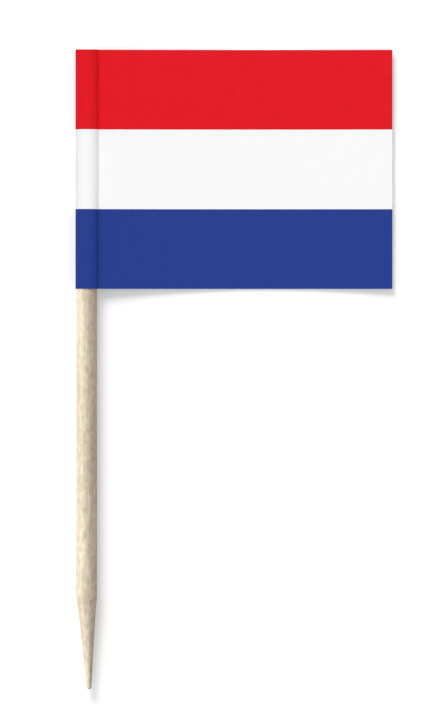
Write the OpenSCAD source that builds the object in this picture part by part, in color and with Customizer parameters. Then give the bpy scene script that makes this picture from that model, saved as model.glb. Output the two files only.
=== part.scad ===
// Flag toothpick: a wooden pick with a printed paper flag folded round its blunt end.
// It lies as it comes to rest on a table, with its point towards -Y and the flag spread
// towards +X. The origin is on the table, under the middle of the part's outline.

/* [Pick] */
// Length of the pick from its point to its blunt end
pick_len = 80; // [65:1:120]
// Diameter of the round pick
pick_d = 2.6; // [2:0.1:3.4]
// Length of the ground point
point_len = 11.5; // [8:0.5:18]
// Length of the steeper cut with which the point begins
entry_len = 1.4; // [0.6:0.1:3]
// Depth of that cut on each side
entry_depth = 0.2; // [0.1:0.02:0.36]
// Diameter of the rounded tip
tip_d = 0.6; // [0.3:0.05:0.8]
// Distance of the tip from the pick's axis, towards the flag
tip_offset = 0.3; // [0:0.05:0.8]
// Chamfer round the blunt end
head_chamfer = 0.2; // [0.05:0.05:0.4]
// Depth of the blunt end below the flag's upper edge
head_inset = 0.2; // [0.1:0.1:2]

/* [Flag] */
// Height of the flag along the pick
flag_h = 30; // [20:0.5:45]
// Length of the flag along the paper, from the pick's axis to the free edge
flag_fly = 38.4; // [28:0.2:60]
// Thickness of the paper
paper_t = 0.1; // [0.08:0.01:0.16]
// Radius of the gentle curl that the paper keeps
curl_r = 200; // [160:5:500]
// Thickness of the glue between the leaves, and between the paper and the pick
glue_t = 0.02; // [0.01:0.005:0.05]

/* [Print] */
// Depth to which the ink soaks into the paper
ink_t = 0.02; // [0.02:0.005:0.04]
// Number of equal stripes, with the first one at the top
stripes = 3; // [3:2:7]

/* [Hidden] */
$fn = 96;
// Finer steps for the shallow curl
curl_fn = 960;
wood = "#cfc0a9";
paper_white = "#fafafa";
ink_red = "#e31f29";
ink_blue = "#2c4190";

pick_r = pick_d / 2;
tip_r = tip_d / 2;
// Outer radius of the paper where it goes round the pick
wrap_r = pick_r + glue_t + paper_t;
total_len = pick_len + head_inset;

// Direction in which the paper lifts off the pick, with its sine and cosine
lift_sin = 0.28;
lift_cos = 0.96;
lift_off = atan2(lift_sin, lift_cos);

// Outer radius of the two creases that close the leaves beside the pick, to a thousandth
crease_r = round(1000 * (lift_sin * wrap_r - paper_t - glue_t / 2) / (1 - lift_sin)) / 1000;
// Centre of the upper crease, seen along the pick from its axis
crease_x = lift_cos * (wrap_r + crease_r);
crease_y = lift_sin * (wrap_r + crease_r);
// Half the thickness of the two glued leaves
half_t = crease_y - crease_r;
curl_angle = (flag_fly - crease_x) / curl_r * 180 / PI;

// The angle x at which a * sin(x) + b * cos(x) = c
function lean_for(a, b, c) = asin(c / norm([a, b])) - atan2(b, a);

// Turn about the pick that brings the curled flag down to the table,
// either on the belly of its curl or, if it is short or nearly flat, on its free edge
belly_turn = lean_for(crease_x, -curl_r, wrap_r - half_t - curl_r);
edge_turn = lean_for(
    crease_x + (curl_r + half_t) * sin(curl_angle),
    (curl_r + half_t) * cos(curl_angle) - curl_r,
    wrap_r
);
rest_turn = belly_turn < curl_angle ? belly_turn : edge_turn;

// Slope of the flag at its free edge as it lies, and the place of that edge across the pick
edge_slope = curl_angle - rest_turn;
edge_x = crease_x * cos(rest_turn) + curl_r * sin(rest_turn)
    + (curl_r + sign(edge_slope) * half_t) * sin(edge_slope);

// Lean of the ground point, whose axis meets the pick's at the shoulder
point_lean = atan2(tip_offset, point_len);
// Radius of the point after its steeper start, and the height of that place above the tip
neck_r = pick_r - entry_depth;
neck_h = point_len - entry_len;
// Widening of that start for each millimetre of its length
entry_slope = entry_depth / entry_len;

// The stripes, counted from the top, are red, bare and blue by turns
stripe_h = flag_h / stripes;
red_stripes = [0:3:stripes - 1];
bare_stripes = [1:3:stripes - 1];
blue_stripes = [2:3:stripes - 1];

// Puts what is drawn round the pick's axis on the table, with the origin under its middle
module laid_down() {
    translate([(wrap_r - edge_x) / 2, -total_len / 2, wrap_r]) children();
}

// The round stick with its chamfered blunt end, standing on the place of its tip
module stick() {
    cylinder(r = pick_r, h = pick_len - head_chamfer);
    translate([0, 0, pick_len - head_chamfer])
        cylinder(r1 = pick_r, r2 = pick_r - head_chamfer, h = head_chamfer);
}

// What the grinding leaves: a round-nosed cone, wider from its neck up, that outgrows the stick
// above the shoulder
module grinding_cone() {
    nose = [for (a = [0:15:90]) tip_r * [sin(a), 1 - cos(a)]];
    translate([tip_offset, 0, 0])
        rotate([0, -point_lean, 0])
            rotate_extrude()
                polygon(concat(nose, [
                    [neck_r, neck_h],
                    [neck_r + entry_slope * pick_len, neck_h + pick_len],
                    [0, neck_h + pick_len]
                ]));
}

module pick() {
    color(wood)
        laid_down()
            rotate([-90, 0, 0])
                intersection() {
                    stick();
                    grinding_cone();
                }
}

// The sheet's skin over one stripe, across its thickness and down its height,
// with the outer face at 0 and the inside towards negative values
module skin_section(n) {
    translate([-ink_t, n * stripe_h]) square([ink_t, stripe_h]);
}

// The paper below its skin, and the skin where it has no print
module paper_section() {
    translate([-paper_t, 0]) square([paper_t - ink_t, flag_h]);
    for (n = bare_stripes)
        skin_section(n);
}

// Bends a section round a centre, with its 0 at radius r
module bend(centre, r, from, angle, fn = $fn) {
    translate(centre)
        rotate([0, 0, from])
            rotate_extrude(angle = angle, $fn = fn)
                translate([r, 0])
                    children();
}

// Folds a section of the sheet round the pick, and creases it beside it
module fold() {
    rise = 90 - lift_off;
    bend([0, 0], wrap_r, 90, 180) children();
    for (side = [0, 1])
        mirror([0, side, 0]) {
            bend([0, 0], wrap_r, lift_off, rise) children();
            bend([crease_x, crease_y], crease_r, 180 + lift_off, rise)
                mirror([1, 0]) children();
        }
}

// A section of the two leaves that lie back to back, with 0 midway between them
module leaves() {
    translate([half_t, 0]) children();
    translate([-half_t, 0]) mirror([1, 0]) children();
}

// The glue that joins the two leaves
module glue_section() {
    gap = 2 * (half_t - paper_t);
    translate([-gap / 2, 0]) square([gap, flag_h]);
}

// Bends a section of the leaves into the flag's shallow curl
module curl() {
    bend([crease_x, curl_r], curl_r, -90, curl_angle, curl_fn) children();
}

// Lays the folded sheet down with its upper edge level with the top of the part
module on_pick() {
    laid_down()
        translate([0, total_len, 0])
            rotate([90, rest_turn, 0])
                children();
}

module paper_flag() {
    color(paper_white)
        on_pick() {
            fold() paper_section();
            curl() {
                leaves() paper_section();
                glue_section();
            }
        }
}

module print_on(stripe_numbers) {
    on_pick()
        for (n = stripe_numbers) {
            fold() skin_section(n);
            curl() leaves() skin_section(n);
        }
}

module red_print() {
    color(ink_red) print_on(red_stripes);
}

module blue_print() {
    color(ink_blue) print_on(blue_stripes);
}

pick();
paper_flag();
red_print();
blue_print();
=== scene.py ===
import math

import bpy
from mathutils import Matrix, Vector


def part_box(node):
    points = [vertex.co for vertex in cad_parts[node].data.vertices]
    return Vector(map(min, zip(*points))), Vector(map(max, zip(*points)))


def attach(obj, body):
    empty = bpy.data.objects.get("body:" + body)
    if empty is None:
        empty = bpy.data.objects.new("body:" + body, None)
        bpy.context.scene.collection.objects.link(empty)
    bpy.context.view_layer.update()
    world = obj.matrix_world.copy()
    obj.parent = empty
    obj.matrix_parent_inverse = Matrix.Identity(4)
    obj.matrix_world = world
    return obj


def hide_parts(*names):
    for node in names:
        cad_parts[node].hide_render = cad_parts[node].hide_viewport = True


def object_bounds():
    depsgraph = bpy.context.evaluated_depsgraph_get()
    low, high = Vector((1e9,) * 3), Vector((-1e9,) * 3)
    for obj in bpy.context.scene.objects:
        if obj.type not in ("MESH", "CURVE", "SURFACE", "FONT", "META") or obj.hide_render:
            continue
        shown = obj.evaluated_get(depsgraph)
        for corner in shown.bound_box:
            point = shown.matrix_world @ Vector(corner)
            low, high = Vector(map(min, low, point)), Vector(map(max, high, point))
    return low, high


MM = 0.001
# How near two places are when they count as one, in metres
NEAR = 0.001 * MM

# The sheet as it is cut and folded, in millimetres
PAPER_T = 0.1
GLUE_T = 0.02
CURL_R = 200.0
FLAG_FLY = 38.4
STRIPES = 3
# Depth of the paper's face below the ink's, and the gap that is left between the two
INK_T = 0.012
INK_GAP = 0.002
# Direction in which the paper lifts off the pick
LIFT_SIN = 0.28
LIFT_COS = 0.96

# The pick, in millimetres
POINT_LEN = 11.5
ENTRY_LEN = 1.4
ENTRY_DEPTH = 0.2
TIP_R = 0.3
TIP_OFFSET = 0.3
HEAD_CHAMFER = 0.2
SHOULDER_SOFTNESS = 0.25

# The photograph's framing, in its own pixels
IMAGE_W = 441
IMAGE_H = 720
PX_PER_MM = 7.965
PART_CENTRE_PX = (234.0, 369.4)
# The long lens and its sensor, in millimetres
LENS = 500.0
SENSOR = 36.0

# Light from all round, the floor's own shade and its glow, where 1 is white
FILL = 0.53
FLOOR_SHADE = 0.8
FLOOR_GLOW = 0.28

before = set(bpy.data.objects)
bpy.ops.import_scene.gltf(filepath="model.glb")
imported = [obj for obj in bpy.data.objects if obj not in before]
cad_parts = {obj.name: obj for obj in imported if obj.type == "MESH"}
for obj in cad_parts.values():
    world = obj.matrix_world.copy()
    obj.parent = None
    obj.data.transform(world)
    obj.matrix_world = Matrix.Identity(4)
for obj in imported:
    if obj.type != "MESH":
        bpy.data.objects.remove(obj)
cad_low, cad_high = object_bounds()

pick_low, pick_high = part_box("pick")
flag_low, flag_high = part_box("paper_flag")
PICK_R = (pick_high.z - pick_low.z) / 2
AXIS_X = pick_low.x + PICK_R
AXIS_Z = pick_low.z + PICK_R
TIP_Y = pick_low.y
SHOULDER_Y = TIP_Y + POINT_LEN * MM
HEAD_Y = pick_high.y
FLAG_TOP = flag_high.y
STRIPE_H = (flag_high.y - flag_low.y) / STRIPES


# Selecting and editing

def select_only(piece):
    """Leaves edit mode with one piece selected, or with none."""
    if bpy.context.object and bpy.context.object.mode != "OBJECT":
        bpy.ops.object.mode_set(mode="OBJECT")
    bpy.ops.object.select_all(action="DESELECT")
    if piece:
        piece.select_set(True)
        bpy.context.view_layer.objects.active = piece


def select_faces(piece, test):
    """In edit mode, selects only the faces whose centre passes a test."""
    bpy.ops.mesh.select_all(action="DESELECT")
    bpy.ops.mesh.select_mode(type="FACE")
    bpy.ops.object.mode_set(mode="OBJECT")
    for face in piece.data.polygons:
        face.select = test(face.center)
    bpy.ops.object.mode_set(mode="EDIT")


def select_edges(piece, test):
    """In edit mode, selects only the edges whose two ends pass a test."""
    bpy.ops.mesh.select_all(action="DESELECT")
    bpy.ops.mesh.select_mode(type="EDGE")
    bpy.ops.object.mode_set(mode="OBJECT")
    points = piece.data.vertices
    for edge in piece.data.edges:
        edge.select = all(test(points[end].co) for end in edge.vertices)
    bpy.ops.object.mode_set(mode="EDIT")


def apply_place(piece):
    """Moves the place, turn and size of a new piece into its mesh."""
    select_only(piece)
    bpy.ops.object.transform_apply(location=True, rotation=True, scale=True)


def merge_and_face_outwards():
    bpy.ops.mesh.select_all(action="SELECT")
    bpy.ops.mesh.remove_doubles(threshold=NEAR / 10)
    bpy.ops.mesh.normals_make_consistent(inside=False)


def finish_mesh(piece, sharp_angle):
    """Closes the edit, and smooths all but the edges that are sharper than an angle."""
    merge_and_face_outwards()
    bpy.ops.object.mode_set(mode="OBJECT")
    bpy.ops.object.shade_smooth_by_angle(angle=math.radians(sharp_angle))


# The section of the folded sheet, in millimetres round the pick's axis

OUTER_R = AXIS_Z / MM
CREASE_R = round((LIFT_SIN * OUTER_R - PAPER_T - GLUE_T / 2) / (1 - LIFT_SIN), 3)
CREASE_X = LIFT_COS * (OUTER_R + CREASE_R)
CREASE_Y = LIFT_SIN * (OUTER_R + CREASE_R)
HALF_T = CREASE_Y - CREASE_R
LIFT_OFF = math.atan2(LIFT_SIN, LIFT_COS)
CURL_ANGLE = (FLAG_FLY - CREASE_X) / CURL_R
# Turn about the pick that brings the belly of the curl down to the table
REST_TURN = math.asin(
    (OUTER_R - HALF_T - CURL_R) / math.hypot(CREASE_X, CURL_R)
) + math.atan2(CURL_R, CREASE_X)


def in_part(across, up):
    """A point of the section in the part's own frame, as the part lies."""
    cos, sin = math.cos(REST_TURN), math.sin(REST_TURN)
    x = across * cos + up * sin
    z = up * cos - across * sin
    return Vector((AXIS_X + x * MM, 0, AXIS_Z + z * MM))


def on_back_leaf(angle, proud):
    """A point of the back leaf's outer face, at an angle of the curl from its crease."""
    radius = CURL_R + HALF_T + proud
    return in_part(CREASE_X + radius * math.sin(angle), CURL_R - radius * math.cos(angle))


def folded_layer(name, foot, top, proud, thickness):
    """One layer of the folded sheet between two heights. Its outer face stands proud of the
    sheet's by a distance, and it goes inwards from there by a thickness, in millimetres."""
    curl_steps, crease_steps, wrap_steps = 28, 10, 80
    step = CURL_ANGLE / curl_steps
    edge = on_back_leaf(CURL_ANGLE, proud)
    inner = on_back_leaf(CURL_ANGLE - step, proud)

    # The last strip of the back leaf, beside its free edge, in rows of a millimetre
    select_only(None)
    bpy.ops.mesh.primitive_grid_add(
        x_subdivisions=1,
        y_subdivisions=round((top - foot) / MM),
        size=1,
        location=(edge + inner) / 2 + Vector((0, (foot + top) / 2, 0)),
        rotation=(0, math.atan2(inner.z - edge.z, edge.x - inner.x), 0),
    )
    piece = bpy.context.object
    piece.name = name
    piece.scale = ((edge - inner).length, top - foot, 1)
    apply_place(piece)

    # Its inner side is spun along the back leaf, round the pick and along the front leaf
    bpy.ops.object.mode_set(mode="EDIT")
    middle = (edge.x + inner.x) / 2
    select_edges(piece, lambda p: p.x < middle)
    crease_turn = math.pi / 2 - LIFT_OFF
    for across, up, turn, steps in [
        (CREASE_X, CURL_R, step - CURL_ANGLE, curl_steps - 1),
        (CREASE_X, -CREASE_Y, crease_turn, crease_steps),
        (0, 0, 2 * LIFT_OFF - 2 * math.pi, wrap_steps),
        (CREASE_X, CREASE_Y, crease_turn, crease_steps),
        (CREASE_X, CURL_R, CURL_ANGLE, curl_steps),
    ]:
        bpy.ops.mesh.spin(steps=steps, angle=turn, center=in_part(across, up), axis=(0, 1, 0))
    merge_and_face_outwards()
    bpy.ops.object.mode_set(mode="OBJECT")

    wall = piece.modifiers.new("wall", "SOLIDIFY")
    wall.thickness = thickness * MM
    wall.offset = -1
    wall.use_even_offset = True
    bpy.ops.object.modifier_apply(modifier="wall")
    bpy.ops.object.mode_set(mode="EDIT")
    finish_mesh(piece, sharp_angle=40)
    return piece


def make_sheet():
    """The paper, from face to face below its ink."""
    return folded_layer("paper_sheet", flag_low.y, FLAG_TOP, -INK_T, PAPER_T - INK_T)


def make_inks():
    """The ink on the outside of the top stripe, and a copy of it on the lowest one."""
    red = folded_layer("red_stripe", FLAG_TOP - STRIPE_H, FLAG_TOP, 0, INK_T - INK_GAP)
    select_only(red)
    bpy.ops.object.duplicate()
    blue = bpy.context.object
    blue.name = "blue_stripe"
    blue.location.y = (1 - STRIPES) * STRIPE_H
    apply_place(blue)
    return red, blue


# The pick

def make_pick():
    """A round stick with a ground point at one end and a small chamfer at the other."""
    select_only(None)
    bpy.ops.mesh.primitive_cylinder_add(
        vertices=96,
        radius=PICK_R,
        depth=HEAD_Y - SHOULDER_Y,
        location=(AXIS_X, (HEAD_Y + SHOULDER_Y) / 2, AXIS_Z),
        rotation=(math.pi / 2, 0, 0),
    )
    pick = bpy.context.object
    pick.name = "birch_pick"
    apply_place(pick)
    bpy.ops.object.mode_set(mode="EDIT")
    select_faces(pick, lambda p: p.y > HEAD_Y - NEAR)
    bpy.ops.mesh.bevel(offset=HEAD_CHAMFER * MM, segments=3, affect="EDGES")
    draw_point(pick)
    for ring_y in (SHOULDER_Y, SHOULDER_Y - ENTRY_LEN * MM):
        select_edges(pick, lambda p: abs(p.y - ring_y) < NEAR)
        bpy.ops.mesh.bevel(offset=SHOULDER_SOFTNESS * MM, segments=4, affect="EDGES")
    finish_mesh(pick, sharp_angle=60)
    return pick


def draw_point(pick):
    """Draws the lower end out to the tip, ring by ring, as the grinding shapes it."""
    select_faces(pick, lambda p: p.y < SHOULDER_Y + NEAR)
    shoulder = Vector((AXIS_X, SHOULDER_Y, AXIS_Z))
    tip = Vector((AXIS_X + TIP_OFFSET * MM, TIP_Y, AXIS_Z))
    centre, radius = shoulder, PICK_R
    for height in point_heights():
        new_centre = tip.lerp(shoulder, height / POINT_LEN)
        new_radius = point_radius(height) * MM
        bpy.ops.mesh.extrude_region_move(TRANSFORM_OT_translate={"value": new_centre - centre})
        size = new_radius / radius
        bpy.ops.transform.resize(value=(size, 1, size), center_override=new_centre)
        centre, radius = new_centre, new_radius


def point_heights():
    """Heights of the point's rings above the tip, in millimetres, from the shoulder down."""
    entry_rings, cone_rings = 4, 24
    neck = POINT_LEN - ENTRY_LEN
    entry = [POINT_LEN - ENTRY_LEN * ring / entry_rings for ring in range(1, entry_rings)]
    cone = [neck - (neck - TIP_R) * ring / cone_rings for ring in range(cone_rings)]
    nose = [TIP_R * (1 - math.sin(math.radians(angle))) for angle in range(0, 90, 10)]
    return entry + cone + nose


def point_radius(height):
    """Radius of the point at a height above the tip, in millimetres."""
    neck = POINT_LEN - ENTRY_LEN
    neck_r = PICK_R / MM - ENTRY_DEPTH
    if height > neck:
        return neck_r + ENTRY_DEPTH * (height - neck) / ENTRY_LEN
    if height > TIP_R:
        return TIP_R + (neck_r - TIP_R) * (height - TIP_R) / (neck - TIP_R)
    return math.sqrt(TIP_R ** 2 - (TIP_R - height) ** 2)


# Nodes

def screen(red, green, blue):
    """A colour from its values on screen, 0 to 255."""
    shares = [value / 255 for value in (red, green, blue)]
    return [*(share / 12.92 if share < 0.04 else ((share + 0.055) / 1.055) ** 2.4
              for share in shares), 1]


def node(tree, kind, inputs=None, **settings):
    """Adds a node with its settings, and sets its inputs or links them to other nodes' outputs."""
    new = tree.nodes.new(kind)
    for name, value in settings.items():
        setattr(new, name, value)
    for key, value in (inputs or {}).items():
        if isinstance(value, bpy.types.NodeSocket):
            tree.links.new(value, new.inputs[key])
        else:
            new.inputs[key].default_value = value
    return new


def maths(tree, operation, *values):
    return node(tree, "ShaderNodeMath", dict(enumerate(values)), operation=operation).outputs[0]


def ranged(tree, value, low, high, to_low=0.0, to_high=1.0):
    """Stretches the part of a value between two limits to another range, and holds it there."""
    inputs = {
        "Value": value, "From Min": low, "From Max": high, "To Min": to_low, "To Max": to_high
    }
    return node(tree, "ShaderNodeMapRange", inputs).outputs["Result"]


def mixed(tree, share, first, second, blend="MIX"):
    inputs = {"Fac": share, "Color1": first, "Color2": second}
    return node(tree, "ShaderNodeMixRGB", inputs, blend_type=blend).outputs["Color"]


def new_group(name, inputs, outputs):
    """A node group with inputs given with their defaults, and outputs that are all values."""
    tree = bpy.data.node_groups.new(name, "ShaderNodeTree")
    for label, value in inputs.items():
        socket = tree.interface.new_socket(label, in_out="INPUT", socket_type="NodeSocketFloat")
        socket.default_value = value
    for label in outputs:
        tree.interface.new_socket(label, in_out="OUTPUT", socket_type="NodeSocketFloat")
    return tree, tree.nodes.new("NodeGroupInput").outputs, tree.nodes.new("NodeGroupOutput").inputs


def grain_group():
    """Noise with its own size across the pick and along it, in millimetres."""
    tree, given, result = new_group(
        "grain", {"Across": 1.0, "Along": 1.0, "Detail": 3.0, "Shift": 0.0}, ["Value"]
    )
    place = node(tree, "ShaderNodeTexCoord").outputs["Object"]
    size = node(
        tree, "ShaderNodeCombineXYZ", {0: given["Across"], 1: given["Along"], 2: given["Across"]}
    ).outputs[0]
    place = node(
        tree, "ShaderNodeVectorMath", {0: place, 1: (1 / MM,) * 3}, operation="MULTIPLY"
    ).outputs[0]
    place = node(tree, "ShaderNodeVectorMath", {0: place, 1: size}, operation="DIVIDE").outputs[0]
    place = node(
        tree, "ShaderNodeVectorMath", {0: place, 1: given["Shift"]}, operation="ADD"
    ).outputs[0]
    noise = node(
        tree, "ShaderNodeTexNoise", {"Vector": place, "Scale": 1.0, "Detail": given["Detail"]}
    )
    tree.links.new(noise.outputs["Fac"], result["Value"])
    return tree


def grain(tree, group, across, along, detail=3.0, shift=0.0):
    """The noise at a size across the pick and along it, moved by a shift of its own."""
    inputs = {"Across": across, "Along": along, "Detail": detail, "Shift": shift}
    return node(tree, "ShaderNodeGroup", inputs, node_tree=group).outputs["Value"]


# Materials

def new_material(name):
    material = bpy.data.materials.new(name)
    material.use_nodes = True
    return material, material.node_tree, material.node_tree.nodes["Principled BSDF"]


def birch(noise):
    """Pale turned birch: broad bands, small warm and cool patches, fine fibres and short pores."""
    material, tree, shader = new_material("birch")
    bands = ranged(tree, grain(tree, noise, 0.9, 16, detail=2, shift=3.1), 0.35, 0.65)
    rosy = ranged(tree, grain(tree, noise, 0.45, 1.1, shift=11.7), 0.48, 0.66, to_high=0.9)
    olive = ranged(tree, grain(tree, noise, 0.4, 0.9, shift=23.9), 0.48, 0.66, to_high=0.7)
    patches = ranged(tree, grain(tree, noise, 0.5, 0.8, detail=2, shift=61.3), 0.3, 0.7, 0.88, 1.07)
    fibres = grain(tree, noise, 0.09, 3.5, detail=4, shift=31.3)
    pores = ranged(tree, grain(tree, noise, 0.07, 0.9, detail=2, shift=47.1), 0.62, 0.72)

    colour = mixed(tree, bands, screen(176, 164, 142), screen(195, 184, 164))
    colour = mixed(tree, rosy, colour, screen(192, 171, 157))
    colour = mixed(tree, olive, colour, screen(167, 158, 131))
    shade = maths(tree, "MULTIPLY", patches, ranged(tree, fibres, 0.3, 0.7, 0.86, 1.1))
    colour = mixed(tree, 1.0, colour, shade, "MULTIPLY")
    colour = mixed(tree, maths(tree, "MULTIPLY", pores, 0.45), colour, screen(120, 101, 76))

    height = maths(tree, "SUBTRACT", fibres, pores)
    bump = node(tree, "ShaderNodeBump", {"Height": height, "Strength": 0.5, "Distance": 0.02 * MM})
    tree.links.new(colour, shader.inputs["Base Color"])
    tree.links.new(bump.outputs["Normal"], shader.inputs["Normal"])
    shader.inputs["Roughness"].default_value = 0.46
    shader.inputs["Specular IOR Level"].default_value = 0.25
    return material


def sheet_surface(name, noise, colour, cloudy, roughness, relief):
    """Paper or ink on it: a colour that is cloudy by a share, over fine felted fibres."""
    material, tree, shader = new_material(name)
    clouds = ranged(tree, grain(tree, noise, 1.3, 1.3, shift=5.3), 0.3, 0.7, to_low=1 - cloudy)
    fibres = grain(tree, noise, 0.08, 0.05, shift=17.9)
    specks = ranged(tree, fibres, 0.3, 0.7, to_low=1 - cloudy)
    shade = maths(tree, "MULTIPLY", clouds, specks)
    tint = mixed(tree, 1.0, colour, shade, "MULTIPLY")
    bump = node(
        tree, "ShaderNodeBump", {"Height": fibres, "Strength": relief, "Distance": 0.01 * MM}
    )
    tree.links.new(tint, shader.inputs["Base Color"])
    tree.links.new(bump.outputs["Normal"], shader.inputs["Normal"])
    shader.inputs["Roughness"].default_value = roughness
    shader.inputs["Specular IOR Level"].default_value = 0.06
    return material


# Stage, light and camera

def seen_directly(tree, strength):
    """A strength for what the camera, glossy and clear surfaces see, and 0 for the rest."""
    path = node(tree, "ShaderNodeLightPath").outputs
    seen = maths(tree, "MAXIMUM", path["Is Camera Ray"], path["Is Glossy Ray"])
    seen = maths(tree, "MAXIMUM", seen, path["Is Transmission Ray"])
    return maths(tree, "MULTIPLY", seen, strength)


def make_floor():
    """A pale floor that shows as white, with the part's shadow on it."""
    select_only(None)
    bpy.ops.mesh.primitive_plane_add(size=3, location=(0, 0, -0.01 * MM))
    floor = bpy.context.object
    floor.name = "floor"
    material, tree, shader = new_material("white_floor")
    shader.inputs["Base Color"].default_value = (FLOOR_SHADE,) * 3 + (1,)
    shader.inputs["Roughness"].default_value = 1
    shader.inputs["Specular IOR Level"].default_value = 0
    shader.inputs["Emission Color"].default_value = (1, 1, 1, 1)
    tree.links.new(seen_directly(tree, FLOOR_GLOW), shader.inputs["Emission Strength"])
    floor.data.materials.append(material)
    return floor


def make_world():
    """Even light from all sides, which shows as white."""
    world = bpy.data.worlds.new("studio")
    bpy.context.scene.world = world
    world.use_nodes = True
    tree = world.node_tree
    fill = tree.nodes["Background"].inputs
    fill["Color"].default_value = (1, 1, 1, 1)
    tree.links.new(maths(tree, "ADD", seen_directly(tree, 1 - FILL), FILL), fill["Strength"])


def make_lamp(name, aim, azimuth, elevation, distance, size, watts):
    """A softbox in a direction from the point it is aimed at, with azimuth 0 at +X and 90 at +Y."""
    turn, rise = math.radians(azimuth), math.radians(elevation)
    away = Vector((math.cos(turn) * math.cos(rise), math.sin(turn) * math.cos(rise), math.sin(rise)))
    light = bpy.data.lights.new(name, "AREA")
    light.shape = "RECTANGLE"
    light.size, light.size_y = size
    light.energy = watts
    lamp = bpy.data.objects.new(name, light)
    bpy.context.scene.collection.objects.link(lamp)
    lamp.location = aim + away * distance
    lamp.rotation_euler = (-away).to_track_quat("-Z", "Y").to_euler()
    return lamp


def light_only(lamp, pieces):
    """Lets a lamp light some pieces and nothing else."""
    lit = bpy.data.collections.new(lamp.name + "_lit")
    for piece in pieces:
        lit.objects.link(piece)
    lamp.light_linking.receiver_collection = lit


def make_lamps(floor, stick, flag):
    """Two large softboxes beyond the blunt end, the first for the floor and the stick and the
    second for the flag alone, and a small one low on the left for the stick alone."""
    middle, large = Vector((0, 0, 0)), (1.32, 1.32)
    key = make_lamp("key", middle, azimuth=110, elevation=36, distance=3, size=large, watts=73)
    light_only(key, [floor, stick])
    front = make_lamp("front", middle, azimuth=97, elevation=50, distance=3, size=large, watts=56)
    light_only(front, flag)
    axis, small = Vector((AXIS_X, 0, AXIS_Z)), (0.4, 0.2)
    side = make_lamp("side", axis, azimuth=180, elevation=26, distance=1, size=small, watts=9.8)
    light_only(side, [stick])


def make_camera():
    """Looks straight down on the part, which lies in the picture as in the photograph."""
    middle = (cad_low + cad_high) / 2
    right = (IMAGE_W / 2 - PART_CENTRE_PX[0]) / PX_PER_MM * MM
    up = (PART_CENTRE_PX[1] - IMAGE_H / 2) / PX_PER_MM * MM
    camera = bpy.data.objects.new("camera", bpy.data.cameras.new("camera"))
    bpy.context.scene.collection.objects.link(camera)
    camera.data.lens = LENS
    camera.data.sensor_width = SENSOR
    distance = IMAGE_H / PX_PER_MM * MM * LENS / SENSOR
    camera.location = (middle.x + right, middle.y + up, distance)
    bpy.context.scene.camera = camera


# Putting it together

def dress(node_name, piece, material):
    """Lets a piece take the place of a node of the frame, in its slot's material."""
    piece.data.materials.clear()
    piece.data.materials.append(material)
    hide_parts(node_name)
    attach(piece, "root")


noise = grain_group()
white = (0.97, 0.97, 0.97, 1)
paper = sheet_surface("paper", noise, white, cloudy=0.015, roughness=0.7, relief=0.6)
red = sheet_surface("red_ink", noise, screen(231, 26, 38), cloudy=0.04, roughness=0.6, relief=0.5)
blue = sheet_surface("blue_ink", noise, screen(41, 64, 146), cloudy=0.04, roughness=0.6, relief=0.5)
pick = make_pick()
dress("pick", pick, birch(noise))
sheet = make_sheet()
dress("paper_flag", sheet, paper)
red_stripe, blue_stripe = make_inks()
dress("red_print", red_stripe, red)
dress("blue_print", blue_stripe, blue)

floor = make_floor()
make_world()
make_lamps(floor, pick, [sheet, red_stripe, blue_stripe])
make_camera()
bpy.context.scene.view_settings.view_transform = "Standard"
